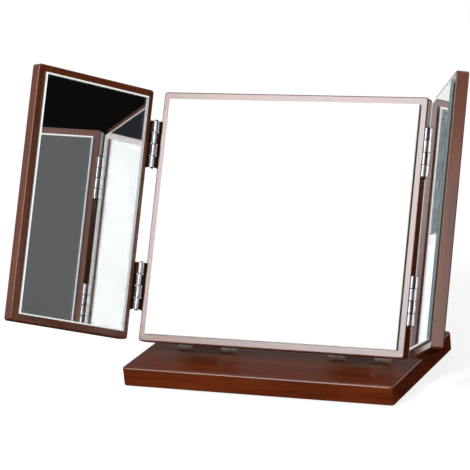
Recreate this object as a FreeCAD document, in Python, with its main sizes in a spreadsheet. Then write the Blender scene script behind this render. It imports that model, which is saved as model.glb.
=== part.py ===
import FreeCAD
import Part
import Sketcher
import math
import os

# Three-panel tabletop mirror.  Millimetres, +X to the right, +Y to the back, +Z up.
# The origin is the centre of the felt under the base.
# Each panel is drawn in its own frame: X along its width, Y up its height, Z out of its front.

doc = FreeCAD.newDocument("TrifoldMirror")

# ---------------------------------------------------------------- driving sizes

sizes = {
    # base
    "base_width": 293.5,
    "base_depth": 162.0,
    "base_thick": 19.6,
    "base_corner": 4.0,
    "base_arris": 1.8,
    "felt_thick": 1.0,
    "felt_inset": 4.0,
    # panels: wooden boards with a mirror plate on the front
    "panel_width": 290.0,
    "panel_height": 258.0,
    "panel_thick": 12.0,
    "panel_corner": 3.0,
    "panel_arris": 1.2,
    "wing_meeting_gap": 1.2,
    "glass_thick": 3.0,
    "glass_border": 7.6,
    "glass_bevel_width": 2.2,
    "glass_bevel_drop": 0.8,
    "tape_thick": 0.4,
    "tape_inset": 6.0,
    # pose of the panels
    "lean_angle": 26.3,
    "left_fold": 64.3,
    "right_fold": 61.9,
    # tilt hinges between the base and the centre panel
    "tilt_axis_back": 69.0,
    "tilt_axis_up": 7.0,
    "tilt_standoff": 20.2,
    "tilt_foot_up": 6.5,
    "tilt_hinge_spacing": 168.0,
    "tilt_leaf_width": 65.0,
    "tilt_leaf_thick": 2.0,
    "tilt_leaf_depth": 31.0,
    "tilt_leaf_height": 27.0,
    "tilt_leaf_corner": 3.0,
    "tilt_knuckle_width": 15.6,
    "tilt_knuckle_gap": 0.5,
    "tilt_toe": 1.2,
    "tilt_barrel_radius": 4.2,
    "tilt_sleeve_radius": 3.0,
    "tilt_eye_radius": 3.5,
    "tilt_shaft_radius": 2.0,
    "tilt_head_radius": 3.2,
    "tilt_head_thick": 1.2,
    "tilt_relief": 9.0,
    "tilt_screw_in": 8.0,
    "tilt_screw_end": 5.5,
    "tilt_screw_low": 10.0,
    "tilt_screw_high": 21.0,
    # fold hinges between the centre panel and each wing
    "fold_axis_side": 3.6,
    "fold_axis_front": 4.7,
    "fold_hinge_margin": 31.2,
    "fold_knuckle_pitch": 12.2,
    "fold_knuckle_gap": 0.5,
    "fold_barrel_radius": 2.4,
    "fold_shaft_radius": 1.2,
    "fold_leaf_thick": 1.2,
    "fold_leaf_on_wood": 9.0,
    "fold_neck_reach": 3.4,
    "fold_screw_end": 7.32,
    "fold_screw_back": 9.6,
    "fold_head_radius": 1.8,
    "fold_head_thick": 0.6,
    # fits
    "running_clearance": 0.05,
    "head_clearance": 0.3,
    "sink_clearance": 0.05,
    # countersunk wood screws
    "small_head_radius": 2.0,
    "small_shank_radius": 1.0,
    "small_screw_length": 10.0,
    "large_head_radius": 3.0,
    "large_shank_radius": 1.5,
    "large_screw_length": 9.5,
}

sheet = doc.addObject("Spreadsheet::Sheet", "Sizes")
for row, (alias, number) in enumerate(sizes.items(), start=1):
    sheet.set("A%d" % row, alias)
    sheet.set("B%d" % row, str(number))
    sheet.setAlias("B%d" % row, alias)
doc.recompute()


def size(alias):
    return float(sheet.get(alias))


def bind(obj, **expressions):
    for prop, expression in expressions.items():
        obj.setExpression(prop.replace("__", "."), expression)


WING_WIDTH = "(Sizes.panel_width - Sizes.wing_meeting_gap) / 2"
FOLD_LENGTH = "4 * Sizes.fold_knuckle_pitch"
wing_width = (size("panel_width") - size("wing_meeting_gap")) / 2
fold_length = 4 * size("fold_knuckle_pitch")
base_top = size("felt_thick") + size("base_thick")

# ---------------------------------------------------------------- frames

ORIGIN, ACROSS_AXIS, UP_AXIS = -1, -1, -2  # how a sketch names its origin and its two axes
X_AXIS = FreeCAD.Vector(1, 0, 0)
Y_AXIS = FreeCAD.Vector(0, 1, 0)
Z_AXIS = FreeCAD.Vector(0, 0, 1)


def shift(x=0.0, y=0.0, z=0.0):
    return FreeCAD.Placement(FreeCAD.Vector(x, y, z), FreeCAD.Rotation())


def turn(axis, degrees):
    return FreeCAD.Placement(FreeCAD.Vector(), FreeCAD.Rotation(axis, degrees))


# The tilt axis runs along X above the base; the centre panel hangs in front of it.
tilt_axis = shift(0, size("tilt_axis_back") - size("base_depth") / 2, base_top + size("tilt_axis_up"))
axis_behind_front = size("panel_thick") + size("tilt_standoff")
centre_frame = tilt_axis * turn(X_AXIS, 90 - size("lean_angle")) * shift(
    0, -size("tilt_foot_up"), axis_behind_front)

# The fold axes run up the two sides of the centre panel, in front of its face.
fold_x = size("panel_width") / 2 + size("fold_axis_side")
left_axis = centre_frame * shift(-fold_x, 0, size("fold_axis_front"))
right_axis = centre_frame * shift(fold_x, 0, size("fold_axis_front"))
left_hub = left_axis * turn(Y_AXIS, size("left_fold"))
right_hub = right_axis * turn(Y_AXIS, -size("right_fold"))
left_frame = left_hub * shift(
    -size("fold_axis_side") - wing_width, 0, -size("fold_axis_front"))
right_frame = right_hub * shift(size("fold_axis_side"), 0, -size("fold_axis_front"))
centre_corner = centre_frame * shift(-size("panel_width") / 2)

# ---------------------------------------------------------------- sketches


def value(expression):
    return float(sheet.evalExpression(expression))


def new_sketch(body, name, role="XY_Plane", offset="0"):
    """Empty sketch on one of the body's origin planes, or at an offset along its normal."""
    plane = next(found for found in body.Origin.OriginFeatures if found.Role == role)
    sketch = body.newObject("Sketcher::SketchObject", name)
    sketch.AttachmentSupport = [(plane, "")]
    sketch.MapMode = "FlatFace"
    bind(sketch, AttachmentOffset__Base__z=offset)
    return sketch


def dimension(sketch, name, expression, kind, *where):
    """Named driving dimension bound to the sheet; where gives the constrained points."""
    index = sketch.addConstraint(Sketcher.Constraint(kind, *where, value(expression)))
    sketch.renameConstraint(index, name)
    bind(sketch, **{"Constraints__" + name: expression})


def line(start, end):
    return Part.LineSegment(FreeCAD.Vector(*start, 0), FreeCAD.Vector(*end, 0))


def arc(radius, first_angle, last_angle):
    """Arc about the sketch's origin, counter-clockwise; angles in degrees."""
    circle = Part.Circle(FreeCAD.Vector(), Z_AXIS, radius)
    return Part.ArcOfCircle(circle, math.radians(first_angle), math.radians(last_angle))


def closed_run(sketch, segments):
    """Segments joined end to start in a loop; level and upright lines are held so."""
    first = sketch.GeometryCount
    for segment in segments:
        sketch.addGeometry(segment, False)
    for i, segment in enumerate(segments):
        following = first + (i + 1) % len(segments)
        sketch.addConstraint(Sketcher.Constraint("Coincident", first + i, 2, following, 1))
        if isinstance(segment, Part.LineSegment):
            run = segment.EndPoint - segment.StartPoint
            if abs(run.y) < 1e-6:
                sketch.addConstraint(Sketcher.Constraint("Horizontal", first + i))
            elif abs(run.x) < 1e-6:
                sketch.addConstraint(Sketcher.Constraint("Vertical", first + i))
    return first


def polygon(sketch, corners):
    return closed_run(sketch, [line(start, end) for start, end in zip(corners, corners[1:] + corners[:1])])


def rectangle(sketch, width, height, x="0", y="0"):
    """Rectangle with its lower left corner at x, y."""
    left, low = value(x), value(y)
    right, high = left + value(width), low + value(height)
    first = polygon(sketch, [(left, low), (right, low), (right, high), (left, high)])
    dimension(sketch, "wide", width, "DistanceX", first, 1, first, 2)
    dimension(sketch, "tall", height, "DistanceY", first + 1, 1, first + 1, 2)
    dimension(sketch, "left", x, "DistanceX", ORIGIN, 1, first, 1)
    dimension(sketch, "low", y, "DistanceY", ORIGIN, 1, first, 1)


def circle(sketch, tag, radius, x="0", y="0"):
    centre = FreeCAD.Vector(value(x), value(y), 0)
    index = sketch.addGeometry(Part.Circle(centre, Z_AXIS, value(radius)), False)
    dimension(sketch, tag + "_radius", radius, "Radius", index)
    dimension(sketch, tag + "_x", x, "DistanceX", ORIGIN, 1, index, 3)
    dimension(sketch, tag + "_y", y, "DistanceY", ORIGIN, 1, index, 3)


# ---------------------------------------------------------------- features


def pad(body, name, sketch, length, symmetric=False):
    feature = body.newObject("PartDesign::Pad", name)
    feature.Profile = sketch
    feature.SideType = "Symmetric" if symmetric else "One side"
    bind(feature, Length=length)
    doc.recompute()
    return feature


def must_cut(feature, before):
    if not feature.Shape.Volume < before - 0.001:
        raise RuntimeError(feature.Name + " cuts nothing")


def pocket(body, name, sketch, length):
    """Cut to both sides of the sketch."""
    before = body.Shape.Volume
    feature = body.newObject("PartDesign::Pocket", name)
    feature.Profile = sketch
    feature.SideType = "Symmetric"
    bind(feature, Length=length)
    doc.recompute()
    must_cut(feature, before)
    return feature


def sunk_holes(body, name, sketch, screw):
    """Countersunk clearance holes through the leaf at the sketch's circles."""
    before = body.Shape.Volume
    hole = body.newObject("PartDesign::Hole", name)
    hole.Profile = sketch
    doc.recompute()
    hole.Reversed = True
    hole.DepthType = "ThroughAll"
    hole.HoleCutType = "Countersink"
    hole.HoleCutCountersinkAngle = 90
    bind(hole,
         Diameter="2 * (Sizes.%s_shank_radius + Sizes.sink_clearance)" % screw,
         HoleCutDiameter="2 * (Sizes.%s_head_radius + Sizes.sink_clearance)" % screw)
    doc.recompute()
    must_cut(hole, before)
    return hole


def repeat(body, name, feature, sketch, direction, length, count):
    """Linear pattern of one feature along an axis of a sketch."""
    pattern = body.newObject("PartDesign::LinearPattern", name)
    pattern.Originals = [feature]
    pattern.Direction = (sketch, [direction])
    pattern.Occurrences = count
    bind(pattern, Length=length)
    body.Tip = pattern
    doc.recompute()
    return pattern


def edge_names(shape, wanted):
    return ["Edge%d" % (i + 1) for i, edge in enumerate(shape.Edges) if wanted(edge)]


def is_upright(edge):
    box = edge.BoundBox
    return box.ZLength > 0.1 and box.XLength < 0.01 and box.YLength < 0.01


def lies_at(edge, height):
    box = edge.BoundBox
    return abs(box.ZMin - height) < 0.001 and abs(box.ZMax - height) < 0.001


def fillet(body, feature, name, names, radius):
    rounded = body.newObject("PartDesign::Fillet", name)
    rounded.Base = (feature, names)
    bind(rounded, Radius=radius)
    doc.recompute()
    return rounded


def slab(label, width, height, thick):
    """Body with one padded rectangle, one corner at its origin."""
    body = doc.addObject("PartDesign::Body", label)
    sketch = new_sketch(body, label + "_outline")
    rectangle(sketch, width, height)
    return body, pad(body, label + "_pad", sketch, thick)


def rounded_board(label, width, height, thick, corner, arris, placement):
    """Board with rounded corners and softened front and back edges."""
    body, blank = slab(label, width, height, thick)
    corners = fillet(body, blank, label + "_corners", edge_names(blank.Shape, is_upright), corner)
    top = corners.Shape.BoundBox.ZMax
    rims = edge_names(corners.Shape, lambda edge: lies_at(edge, 0) or lies_at(edge, top))
    fillet(body, corners, label + "_arrises", rims, arris)
    body.Placement = placement
    return body


def mirror_plate(label, width, height, placement):
    """Mirror glass with a shallow ground bevel round its front."""
    body, blank = slab(label, width, height, "Sizes.glass_thick")
    front = edge_names(blank.Shape, lambda edge: lies_at(edge, size("glass_thick")))
    bevel = body.newObject("PartDesign::Chamfer", label + "_bevel")
    bevel.Base = (blank, front)
    bevel.ChamferType = "Two distances"
    bind(bevel, Size="Sizes.glass_bevel_drop", Size2="Sizes.glass_bevel_width")
    doc.recompute()
    face = max(bevel.Shape.Faces, key=lambda found: found.CenterOfMass.z)
    margin = blank.Shape.BoundBox.XLength - face.BoundBox.XLength
    if abs(margin - 2 * size("glass_bevel_width")) > 0.01:
        bevel.FlipDirection = True
        doc.recompute()
    body.Placement = placement
    return body


def sheet_box(label, width, height, thick, placement):
    box = doc.addObject("Part::Box", label)
    bind(box, Length=width, Width=height, Height=thick)
    box.Placement = placement
    return box


# ---------------------------------------------------------------- turned pieces and screws


def turned(body, name, sketch):
    feature = body.newObject("PartDesign::Revolution", name)
    feature.Profile = sketch
    feature.ReferenceAxis = (sketch, ["V_Axis"])
    feature.Angle = 360
    doc.recompute()
    return feature


def headed_pin(label, radius, head_radius, head_thick, length, placement):
    """Pin with a low head at each end, turned about Z; Z = 0 is the inner face of the lower head."""
    body = doc.addObject("PartDesign::Body", label)
    sketch = new_sketch(body, label + "_half_section", "XZ_Plane")
    slim, wide, low, tall = value(radius), value(head_radius), value(head_thick), value(length)
    first = polygon(sketch, [
        (0, -low), (wide, -low), (wide, 0), (slim, 0), (slim, tall), (wide, tall), (wide, tall + low),
        (0, tall + low)])
    sketch.addConstraint(Sketcher.Constraint("PointOnObject", first, 1, UP_AXIS))
    sketch.addConstraint(Sketcher.Constraint("PointOnObject", first + 2, 1, ACROSS_AXIS))
    sketch.addConstraint(Sketcher.Constraint("Equal", first, first + 6))
    sketch.addConstraint(Sketcher.Constraint("Equal", first + 1, first + 5))
    dimension(sketch, "head", head_radius, "DistanceX", first, 1, first, 2)
    dimension(sketch, "head_thick", head_thick, "DistanceY", first + 1, 1, first + 1, 2)
    dimension(sketch, "radius", radius, "DistanceX", ORIGIN, 1, first + 3, 1)
    dimension(sketch, "length", length, "DistanceY", first + 3, 1, first + 3, 2)
    turned(body, label + "_turned", sketch)
    body.Placement = placement
    return body


def friction_sleeve(label, z):
    """Friction bushing inside one outer barrel."""
    outer = doc.addObject("Part::Cylinder", label + "_outer")
    inner = doc.addObject("Part::Cylinder", label + "_inner")
    bind(outer, Radius="Sizes.tilt_sleeve_radius", Height="Sizes.tilt_knuckle_width")
    bind(inner, Radius="Sizes.tilt_shaft_radius + Sizes.running_clearance",
         Height="2 * Sizes.tilt_knuckle_width")
    bind(outer, Placement__Base__z=z)
    bind(inner, Placement__Base__z="(%s) - Sizes.tilt_knuckle_width / 2" % z)
    ring = doc.addObject("Part::Cut", label)
    ring.Base = outer
    ring.Tool = inner
    return ring


def screw_shape(screw):
    """Countersunk screw, its head's face at Z = 0 and its shank down."""
    head = size(screw + "_head_radius")
    shank = size(screw + "_shank_radius")
    reach = size(screw + "_screw_length")
    outline = [(0, 0), (head, 0), (shank, shank - head), (shank, -reach), (0, -reach)]
    points = [FreeCAD.Vector(r, 0, z) for r, z in outline]
    profile = Part.Face(Part.makePolygon(points + [points[0]]))
    return profile.revolve(FreeCAD.Vector(), Z_AXIS, 360)


def screw_group(label, solid, placements):
    """Identical screws as separate solids of one piece."""
    copies = []
    for placement in placements:
        copy = solid.copy()
        copy.Placement = placement
        copies.append(copy)
    group = doc.addObject("Part::Feature", label)
    group.Shape = Part.makeCompound(copies)
    return group


# ---------------------------------------------------------------- base

pieces = []

base_corner = shift(-size("base_width") / 2, -size("base_depth") / 2, size("felt_thick"))
base_board = rounded_board(
    "base_board", "Sizes.base_width", "Sizes.base_depth", "Sizes.base_thick",
    "Sizes.base_corner", "Sizes.base_arris", base_corner)
base_felt = sheet_box(
    "base_felt",
    "Sizes.base_width - 2 * Sizes.felt_inset",
    "Sizes.base_depth - 2 * Sizes.felt_inset",
    "Sizes.felt_thick",
    shift(size("felt_inset") - size("base_width") / 2, size("felt_inset") - size("base_depth") / 2))
pieces += [base_board, base_felt]

# ---------------------------------------------------------------- panels


def panel(name, width, corner_frame):
    """Board, adhesive sheet and mirror plate of one panel; its frame is its lower left front corner."""
    border = size("glass_border")
    inset = border + size("tape_inset")
    board = rounded_board(
        name + "_board", width, "Sizes.panel_height", "Sizes.panel_thick",
        "Sizes.panel_corner", "Sizes.panel_arris", corner_frame * shift(0, 0, -size("panel_thick")))
    tape = sheet_box(
        name + "_adhesive",
        width + " - 2 * (Sizes.glass_border + Sizes.tape_inset)",
        "Sizes.panel_height - 2 * (Sizes.glass_border + Sizes.tape_inset)",
        "Sizes.tape_thick",
        corner_frame * shift(inset, inset, 0))
    glass = mirror_plate(
        name + "_mirror",
        width + " - 2 * Sizes.glass_border",
        "Sizes.panel_height - 2 * Sizes.glass_border",
        corner_frame * shift(border, border, size("tape_thick")))
    return [board, tape, glass]


pieces += panel("centre", "Sizes.panel_width", centre_corner)
pieces += panel("left_wing", WING_WIDTH, left_frame)
pieces += panel("right_wing", WING_WIDTH, right_frame)

# ---------------------------------------------------------------- tilt hinges
# Drawn with the shaft along Z at the origin.  Each leaf is a rolled section, padded along the shaft.

TILT_MIDDLE = "Sizes.tilt_leaf_width - 2 * Sizes.tilt_knuckle_width"
along_x = FreeCAD.Placement(FreeCAD.Vector(), FreeCAD.Rotation(Y_AXIS, Z_AXIS, X_AXIS, "ZXY"))
tilt_screw = screw_shape("large")
tilt_screw_side = size("tilt_leaf_width") / 2 - size("tilt_screw_in")
tilt_screw_near = size("tilt_barrel_radius") + size("tilt_screw_end")
tilt_screw_far = size("tilt_leaf_depth") - size("tilt_toe") - size("tilt_screw_end")
tilt_base_screws = [
    (x, z) for x in (tilt_screw_near, tilt_screw_far) for z in (-tilt_screw_side, tilt_screw_side)]
tilt_mirror_screws = [
    (y, z) for y in (size("tilt_screw_low"), size("tilt_screw_high"))
    for z in (-tilt_screw_side, tilt_screw_side)]


def screw_circles(sketch, distances):
    """Circles for the four holes of a tilt leaf: two distances from the shaft, two ends."""
    side = "Sizes.tilt_leaf_width / 2 - Sizes.tilt_screw_in"
    for row, distance in enumerate(distances):
        for end, z in (("a", "-(%s)" % side), ("b", side)):
            circle(sketch, "hole_%s%d" % (end, row), "Sizes.large_shank_radius", distance, z)


def tilt_base_leaf(label, placement):
    """Leaf screwed to the base: +X to the back, +Y up; two outer barrels on its front edge.

    The section runs along the plate, up the web, round the barrel and down to the toe."""
    body = doc.addObject("PartDesign::Body", label)
    section = new_sketch(body, label + "_section")
    toe, thick = size("tilt_toe"), size("tilt_leaf_thick")
    barrel = size("tilt_barrel_radius")
    back = size("tilt_leaf_depth") - toe
    under = -size("tilt_axis_up")
    over = under + thick
    first = closed_run(section, [
        line((-toe, under), (back, under)), line((back, under), (back, over)),
        line((back, over), (barrel, over)), line((barrel, over), (barrel, 0)),
        arc(barrel, 0, 270),
        line((0, -barrel), (0, over)), line((0, over), (-toe, over)), line((-toe, over), (-toe, under))])
    rolled = first + 4
    section.addConstraint(Sketcher.Constraint("Coincident", rolled, 3, ORIGIN, 1))
    section.addConstraint(Sketcher.Constraint("PointOnObject", rolled, 1, ACROSS_AXIS))
    section.addConstraint(Sketcher.Constraint("PointOnObject", rolled, 2, UP_AXIS))
    dimension(section, "barrel", "Sizes.tilt_barrel_radius", "Radius", rolled)
    dimension(section, "depth", "Sizes.tilt_leaf_depth", "DistanceX", first, 1, first, 2)
    dimension(section, "toe", "Sizes.tilt_toe", "DistanceX", first, 1, ORIGIN, 1)
    dimension(section, "axis_up", "Sizes.tilt_axis_up", "DistanceY", first, 1, ORIGIN, 1)
    dimension(section, "thick", "Sizes.tilt_leaf_thick", "DistanceY", first + 1, 1, first + 1, 2)
    dimension(section, "toe_thick", "Sizes.tilt_leaf_thick", "DistanceY", first + 7, 2, first + 7, 1)
    pad(body, label + "_pad", section, "Sizes.tilt_leaf_width", symmetric=True)
    gap = new_sketch(body, label + "_middle")
    rectangle(gap, "2 * Sizes.tilt_barrel_radius + Sizes.tilt_relief",
              "2 * (Sizes.tilt_axis_up + Sizes.tilt_barrel_radius)",
              "-2 * Sizes.tilt_barrel_radius", "-Sizes.tilt_axis_up - Sizes.tilt_barrel_radius")
    pocket(body, label + "_gap", gap, TILT_MIDDLE)
    bore = new_sketch(body, label + "_bore_outline")
    circle(bore, "bore", "Sizes.tilt_sleeve_radius")
    pocket(body, label + "_bore", bore, "2 * Sizes.tilt_leaf_width")
    holes = new_sketch(
        body, label + "_hole_centres", "XZ_Plane", "Sizes.tilt_axis_up - Sizes.tilt_leaf_thick")
    screw_circles(holes, (
        "Sizes.tilt_barrel_radius + Sizes.tilt_screw_end",
        "Sizes.tilt_leaf_depth - Sizes.tilt_toe - Sizes.tilt_screw_end"))
    sunk = sunk_holes(body, label + "_holes", holes, "large")
    fillet(body, sunk, label + "_corners", edge_names(
        sunk.Shape, lambda edge: edge.BoundBox.XMin > back - 0.01 and edge.BoundBox.ZLength < 0.01),
        "Sizes.tilt_leaf_corner")
    body.Placement = placement
    return body


def tilt_mirror_leaf(label, placement):
    """Leaf on the back of the panel: +X to the panel, +Y up it.

    A full-width plate, and a narrower shelf that ends in the rolled middle eye."""
    body = doc.addObject("PartDesign::Body", label)
    middle = "(%s - 2 * Sizes.tilt_knuckle_gap)" % TILT_MIDDLE
    plate = new_sketch(body, label + "_plate_section")
    rectangle(plate, "Sizes.tilt_leaf_thick", "Sizes.tilt_leaf_height",
              "Sizes.tilt_standoff - Sizes.tilt_leaf_thick", "Sizes.tilt_eye_radius - Sizes.tilt_leaf_thick")
    pad(body, label + "_plate", plate, "Sizes.tilt_leaf_width", symmetric=True)
    section = new_sketch(body, label + "_shelf_section")
    eye, thick = size("tilt_eye_radius"), size("tilt_leaf_thick")
    reach = size("tilt_standoff") - thick
    under = eye - thick
    meets = math.degrees(math.asin(under / eye))
    first = closed_run(section, [
        arc(eye, 90, 360 + meets),
        line((math.sqrt(eye ** 2 - under ** 2), under), (reach, under)),
        line((reach, under), (reach, eye)), line((reach, eye), (0, eye))])
    section.addConstraint(Sketcher.Constraint("Coincident", first, 3, ORIGIN, 1))
    section.addConstraint(Sketcher.Constraint("PointOnObject", first, 1, UP_AXIS))
    dimension(section, "eye", "Sizes.tilt_eye_radius", "Radius", first)
    dimension(section, "reach", "Sizes.tilt_standoff - Sizes.tilt_leaf_thick",
              "DistanceX", ORIGIN, 1, first + 2, 1)
    dimension(section, "thick", "Sizes.tilt_leaf_thick", "DistanceY", first + 2, 1, first + 2, 2)
    pad(body, label + "_shelf", section, middle, symmetric=True)
    bore = new_sketch(body, label + "_bore_outline")
    circle(bore, "bore", "Sizes.tilt_shaft_radius")
    pocket(body, label + "_bore", bore, "2 * Sizes.tilt_leaf_width")
    holes = new_sketch(
        body, label + "_hole_centres", "YZ_Plane", "Sizes.tilt_standoff - Sizes.tilt_leaf_thick")
    screw_circles(holes, ("Sizes.tilt_screw_low", "Sizes.tilt_screw_high"))
    sunk = sunk_holes(body, label + "_holes", holes, "large")
    ends = size("tilt_leaf_width") / 2 - 0.01
    fillet(body, sunk, label + "_corners", edge_names(
        sunk.Shape, lambda edge: abs(edge.BoundBox.Center.z) > ends and edge.BoundBox.YLength < 0.01),
        "Sizes.tilt_leaf_corner")
    body.Placement = placement
    return body


for side_name, side in (("left", -1), ("right", 1)):
    name = "tilt_hinge_" + side_name
    x_shift = side * size("tilt_hinge_spacing") / 2
    # hinge axes: local Z to world X, local X to world Y, local Y to world Z
    base_side = shift(x_shift) * tilt_axis * along_x
    mirror_side = shift(x_shift) * tilt_axis * turn(X_AXIS, 90 - size("lean_angle")) * FreeCAD.Placement(
        FreeCAD.Vector(), FreeCAD.Rotation(Z_AXIS, Y_AXIS, -X_AXIS, "ZXY"))
    base_leaf = tilt_base_leaf(name + "_base_leaf", base_side)
    mirror_leaf = tilt_mirror_leaf(name + "_mirror_leaf", mirror_side)
    span = "Sizes.tilt_leaf_width + 2 * Sizes.head_clearance"
    pin = headed_pin(
        name + "_shaft", "Sizes.tilt_shaft_radius", "Sizes.tilt_head_radius", "Sizes.tilt_head_thick",
        span, base_side * shift(z=-size("tilt_leaf_width") / 2 - size("head_clearance")))
    sleeves = [
        friction_sleeve(name + "_sleeve_a", "-Sizes.tilt_leaf_width / 2"),
        friction_sleeve(name + "_sleeve_b", "Sizes.tilt_leaf_width / 2 - Sizes.tilt_knuckle_width")]
    sleeve_group = doc.addObject("Part::Compound", name + "_friction_sleeves")
    sleeve_group.Links = sleeves
    sleeve_group.Placement = base_side
    base_screws = screw_group(name + "_base_screws", tilt_screw, [
        base_side * shift(x, -size("tilt_axis_up") + size("tilt_leaf_thick"), z)
        * FreeCAD.Placement(FreeCAD.Vector(), FreeCAD.Rotation(Z_AXIS, Y_AXIS))
        for x, z in tilt_base_screws])
    mirror_screws = screw_group(name + "_mirror_screws", tilt_screw, [
        mirror_side * shift(size("tilt_standoff") - size("tilt_leaf_thick"), y, z)
        * FreeCAD.Placement(FreeCAD.Vector(), FreeCAD.Rotation(Z_AXIS, -X_AXIS))
        for y, z in tilt_mirror_screws])
    pieces += [base_leaf, mirror_leaf, pin, sleeve_group, base_screws, mirror_screws]

# ---------------------------------------------------------------- fold hinges
# A leaf is drawn with the pin along Z, +X towards its board and +Y to the back.  Its knuckles
# are the first and third of four, so that two equal leaves, one turned over, make a hinge.

fold_screw = screw_shape("small")
FOLD_SCREW_STEP = "(%s - 2 * Sizes.fold_screw_end)" % FOLD_LENGTH
fold_leaf_face = size("fold_axis_side") - size("fold_leaf_thick")
fold_screw_heights = [
    size("fold_screw_end"), fold_length / 2, fold_length - size("fold_screw_end")]


def fold_leaf(label, bore_radius, placement):
    """Plate on the board's edge with two rolled knuckles."""
    body = doc.addObject("PartDesign::Body", label)
    near = "Sizes.fold_axis_side - Sizes.fold_leaf_thick"
    plate = new_sketch(body, label + "_plate_section")
    rectangle(plate, "Sizes.fold_leaf_thick",
              "Sizes.fold_axis_front + Sizes.fold_leaf_on_wood - Sizes.fold_neck_reach",
              near, "Sizes.fold_neck_reach")
    pad(body, label + "_plate", plate, FOLD_LENGTH)

    section = new_sketch(body, label + "_knuckle_section", offset="Sizes.fold_knuckle_gap / 2")
    barrel, thick = size("fold_barrel_radius"), size("fold_leaf_thick")
    outside, reach = size("fold_axis_side"), size("fold_neck_reach")
    slope = FreeCAD.Vector(outside - barrel, reach, 0)
    inside = FreeCAD.Vector(barrel - thick, 0, 0)
    # where the neck's inner face leaves the barrel
    dot = slope.dot(inside) / slope.dot(slope)
    along = -dot + math.sqrt(dot ** 2 + (barrel ** 2 - inside.dot(inside)) / slope.dot(slope))
    leaves = inside + slope * along
    first = closed_run(section, [
        arc(barrel, math.degrees(math.atan2(leaves.y, leaves.x)), 360),
        line((barrel, 0), (outside, reach)), line((outside, reach), (outside - thick, reach)),
        line((outside - thick, reach), (leaves.x, leaves.y))])
    section.addConstraint(Sketcher.Constraint("Coincident", first, 3, ORIGIN, 1))
    section.addConstraint(Sketcher.Constraint("PointOnObject", first, 2, ACROSS_AXIS))
    section.addConstraint(Sketcher.Constraint("Parallel", first + 1, first + 3))
    dimension(section, "barrel", "Sizes.fold_barrel_radius", "Radius", first)
    dimension(section, "outside", "Sizes.fold_axis_side", "DistanceX", ORIGIN, 1, first + 1, 2)
    dimension(section, "reach", "Sizes.fold_neck_reach", "DistanceY", ORIGIN, 1, first + 1, 2)
    dimension(section, "thick", "Sizes.fold_leaf_thick", "DistanceX", first + 2, 2, first + 2, 1)
    knuckle = pad(body, label + "_knuckle", section, "Sizes.fold_knuckle_pitch - Sizes.fold_knuckle_gap")
    repeat(body, label + "_knuckles", knuckle, section, "N_Axis", "2 * Sizes.fold_knuckle_pitch", 2)

    bore = new_sketch(body, label + "_bore_outline")
    circle(bore, "bore", bore_radius)
    pocket(body, label + "_bore", bore, "2 * " + FOLD_LENGTH)
    hole = new_sketch(body, label + "_hole_centre", "YZ_Plane", near)
    circle(hole, "hole", "Sizes.small_shank_radius", "Sizes.fold_screw_back", "Sizes.fold_screw_end")
    sunk = sunk_holes(body, label + "_hole", hole, "small")
    repeat(body, label + "_holes", sunk, hole, "V_Axis", FOLD_SCREW_STEP, len(fold_screw_heights))
    body.Placement = placement
    return body


def leaf_placement(axis_frame, bottom, towards):
    """Leaf frame in a panel frame: +X (towards = 1) or -X (towards = -1) points at the board."""
    if towards > 0:
        return axis_frame * shift(0, bottom, 0) * FreeCAD.Placement(
            FreeCAD.Vector(), FreeCAD.Rotation(X_AXIS, -Z_AXIS, Y_AXIS, "ZXY"))
    return axis_frame * shift(0, bottom + fold_length, 0) * FreeCAD.Placement(
        FreeCAD.Vector(), FreeCAD.Rotation(-X_AXIS, -Z_AXIS, -Y_AXIS, "ZXY"))


def fold_screws(label, placement):
    into_board = FreeCAD.Placement(FreeCAD.Vector(), FreeCAD.Rotation(Z_AXIS, -X_AXIS))
    return screw_group(label, fold_screw, [
        placement * shift(fold_leaf_face, size("fold_screw_back"), z) * into_board
        for z in fold_screw_heights])


for side_name, side, axis_frame, hub in (
        ("left", -1, left_axis, left_hub), ("right", 1, right_axis, right_hub)):
    for level, bottom in (
            ("lower", size("fold_hinge_margin")),
            ("upper", size("panel_height") - size("fold_hinge_margin") - fold_length)):
        name = "%s_%s_hinge" % (side_name, level)
        centre_place = leaf_placement(axis_frame, bottom, -side)
        wing_place = leaf_placement(hub, bottom, side)
        pin_place = axis_frame * shift(0, bottom - size("head_clearance"), 0) * turn(X_AXIS, -90)
        pieces += [
            fold_leaf(name + "_centre_leaf", "Sizes.fold_shaft_radius", centre_place),
            fold_leaf(
                name + "_wing_leaf", "Sizes.fold_shaft_radius + Sizes.running_clearance", wing_place),
            headed_pin(
                name + "_pin", "Sizes.fold_shaft_radius", "Sizes.fold_head_radius",
                "Sizes.fold_head_thick", FOLD_LENGTH + " + 2 * Sizes.head_clearance", pin_place),
            fold_screws(name + "_centre_screws", centre_place),
            fold_screws(name + "_wing_screws", wing_place)]

# ---------------------------------------------------------------- checks and export

doc.recompute()
for obj in doc.Objects:
    for state in obj.State:
        if state in ("Invalid", "Error"):
            raise RuntimeError("%s is %s" % (obj.Name, state))
for piece in pieces:
    if piece.Shape.isNull() or not piece.Shape.isValid():
        raise RuntimeError(piece.Label + " has no valid shape")

os.makedirs("parts", exist_ok=True)
for piece in pieces:
    piece.Shape.exportStep(os.path.join("parts", piece.Label + ".step"))
    print("%-36s %2d solid(s) %10.1f mm3" % (piece.Label, len(piece.Shape.Solids), piece.Shape.Volume))
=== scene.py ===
import bpy
import bmesh
import math
from mathutils import Matrix, Vector


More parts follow.
